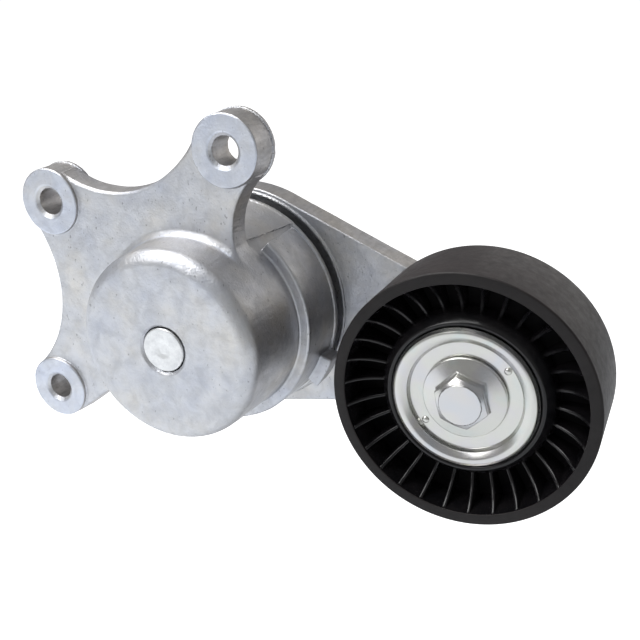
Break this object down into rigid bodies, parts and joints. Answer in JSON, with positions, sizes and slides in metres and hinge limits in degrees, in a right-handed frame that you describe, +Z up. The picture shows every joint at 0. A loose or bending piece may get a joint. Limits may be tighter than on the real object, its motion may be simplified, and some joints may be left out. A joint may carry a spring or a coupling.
{
  "type": "belt tensioner idler",
  "caption": "Spring-loaded belt tensioner: cast cup housing with a bolt flange, a swinging arm and a smooth idler pulley on a ball bearing.",
  "frame": {"origin": "where the arm's pivot axis meets the mounting plane, the plane of the three flange boss front faces", "axes": "+X from the pivot towards the pulley, +Y along the pivot axis from the mounting side to the arm, +Z up"},
  "size_m": [0.188, 0.0657, 0.114],
  "materials": {
    "cast_aluminium": "die cast, fine grain, trimmed edges",
    "zinc_steel": "bright zinc plate with a faint pale tint",
    "ground_steel": "ground and peened",
    "spring_steel": "dark oiled steel",
    "black_nylon": "glass-filled nylon, satin tread and glossy ribs",
    "black_rubber": "matt rubber",
    "pale_polymer": "unfilled bearing polymer"
  },
  "bodies": {
    "base": {"base_housing": "cast_aluminium", "pivot_shaft": "ground_steel", "torsion_spring": "spring_steel", "spring_liner": "pale_polymer", "dust_seal": "black_rubber", "retaining_plate": "zinc_steel"},
    "arm": {"tensioner_arm": "cast_aluminium", "pivot_bushing": "pale_polymer", "damper_shoe": "pale_polymer", "damper_clip": "spring_steel", "thrust_washer": "pale_polymer", "pulley_bolt": "zinc_steel", "front_shield": "zinc_steel", "bearing_inner_ring": "ground_steel", "rear_shield": "zinc_steel"},
    "pulley": {"pulley_rim": "black_nylon", "bearing_outer_ring": "ground_steel", "front_bearing_seal": "black_rubber", "rear_bearing_seal": "black_rubber"},
    "cage": {"bearing_cage": "pale_polymer", "bearing_ball_1": "ground_steel", "bearing_ball_2": "ground_steel", "bearing_ball_3": "ground_steel", "bearing_ball_4": "ground_steel", "bearing_ball_5": "ground_steel", "bearing_ball_6": "ground_steel", "bearing_ball_7": "ground_steel", "bearing_ball_8": "ground_steel"}
  },
  "joints": [
    {"name": "arm_swing", "type": "hinge", "parent": "base", "child": "arm", "pos_m": [0, 0.02, 0], "axis": [0, 1, 0], "range_deg": [0, 40], "stiffness_Nm_per_rad": 22, "springref_deg": -40.11, "deforming": ["torsion_spring"]},
    {"name": "pulley_spin", "type": "hinge", "parent": "arm", "child": "pulley", "pos_m": [0.08506, 0.0165, -0.008], "axis": [0, 1, 0], "continuous": true},
    {"name": "cage_spin", "type": "hinge", "parent": "arm", "child": "cage", "pos_m": [0.08506, 0.0165, -0.008], "axis": [0, 1, 0], "continuous": true}
  ],
  "couplings": [
    {"joint": "cage_spin", "follows": "pulley_spin", "ratio": 0.6158}
  ]
}
